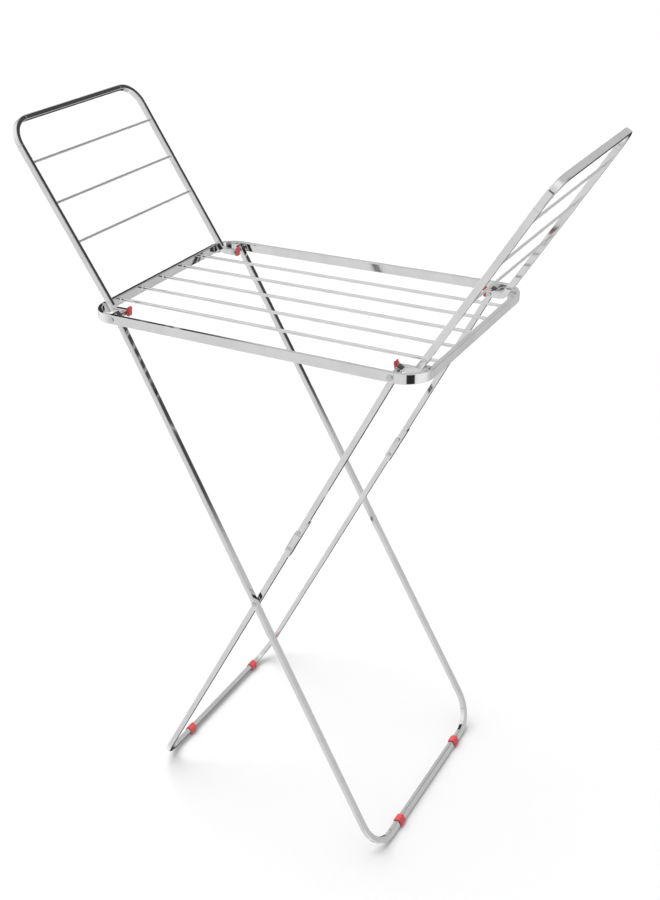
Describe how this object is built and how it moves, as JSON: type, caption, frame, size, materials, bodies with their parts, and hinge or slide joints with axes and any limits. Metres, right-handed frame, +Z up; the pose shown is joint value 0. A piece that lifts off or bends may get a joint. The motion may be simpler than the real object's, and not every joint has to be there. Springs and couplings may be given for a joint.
{
  "type": "clothes drying rack",
  "caption": "Free-standing clothes drying rack with a rodded table, two lean-out wings and crossing folding leg frames.",
  "frame": {"origin": "floor centre under the table: the middle of the overall box at its lowest face", "axes": "+Z up, X along the table from the left wing to the right wing, Y across it with the front at -Y"},
  "size_m": [1.0514, 0.4918, 1.4077],
  "materials": {
    "chrome_tube": "polished chrome plate on steel tube",
    "chrome_rod": "chrome plated round bar",
    "rivet_steel": "nickel plated rivets",
    "dark_plastic": "moulded, lightly textured",
    "red_plastic": "moulded, satin"
  },
  "bodies": {
    "frame": {"table_frame": "chrome_tube", "table_rod_1": "chrome_rod", "table_rod_2": "chrome_rod", "table_rod_3": "chrome_rod", "table_rod_4": "chrome_rod", "table_rod_5": "chrome_rod", "pivot_rivet_left_front": "rivet_steel", "pivot_rivet_left_back": "rivet_steel", "pivot_rivet_right_front": "rivet_steel", "pivot_rivet_right_back": "rivet_steel", "pivot_spacer_left_front": "rivet_steel", "pivot_spacer_left_back": "rivet_steel", "pivot_spacer_right_front": "rivet_steel", "pivot_spacer_right_back": "rivet_steel", "left_wing_stop_front": "rivet_steel", "left_wing_stop_back": "rivet_steel", "right_wing_stop_front": "rivet_steel", "right_wing_stop_back": "rivet_steel"},
    "left_wing": {"left_wing_frame": "chrome_tube", "left_wing_rod_1": "chrome_rod", "left_wing_rod_2": "chrome_rod", "left_wing_rod_3": "chrome_rod", "left_wing_cap_front": "red_plastic", "left_wing_cap_back": "red_plastic"},
    "right_wing": {"right_wing_frame": "chrome_tube", "right_wing_rod_1": "chrome_rod", "right_wing_rod_2": "chrome_rod", "right_wing_rod_3": "chrome_rod", "right_wing_cap_front": "red_plastic", "right_wing_cap_back": "red_plastic"},
    "outer_leg": {"outer_leg_frame": "chrome_tube", "outer_leg_plug_front": "dark_plastic", "outer_leg_plug_back": "dark_plastic", "outer_foot_clip_front": "red_plastic", "outer_foot_clip_back": "red_plastic", "crossing_rivets": "rivet_steel"},
    "inner_leg": {"inner_leg_frame": "chrome_tube", "inner_leg_link_front": "chrome_tube", "inner_leg_link_back": "chrome_tube", "knee_bracket_front": "chrome_tube", "knee_bracket_back": "chrome_tube", "knee_rivets": "rivet_steel", "inner_leg_plug_front": "dark_plastic", "inner_leg_plug_back": "dark_plastic", "inner_foot_clip_front": "red_plastic", "inner_foot_clip_back": "red_plastic"}
  },
  "joints": [
    {"name": "left_wing_fold", "type": "hinge", "parent": "frame", "child": "left_wing", "pos_m": [-0.2843, 0, 1.071], "axis": [0, 1, 0], "range_deg": [0, 122]},
    {"name": "right_wing_fold", "type": "hinge", "parent": "frame", "child": "right_wing", "pos_m": [0.2843, 0, 1.071], "axis": [0, -1, 0], "range_deg": [0, 115]},
    {"name": "outer_leg_fold", "type": "hinge", "parent": "frame", "child": "outer_leg", "pos_m": [-0.2843, 0, 1.071], "axis": [0, -1, 0], "range_deg": [0, 54.5]},
    {"name": "inner_leg_fold", "type": "hinge", "parent": "frame", "child": "inner_leg", "pos_m": [0.2843, 0, 1.071], "axis": [0, 1, 0], "range_deg": [0, 54.5]}
  ],
  "couplings": [
    {"joint": "inner_leg_fold", "follows": "outer_leg_fold", "ratio": 1}
  ]
}
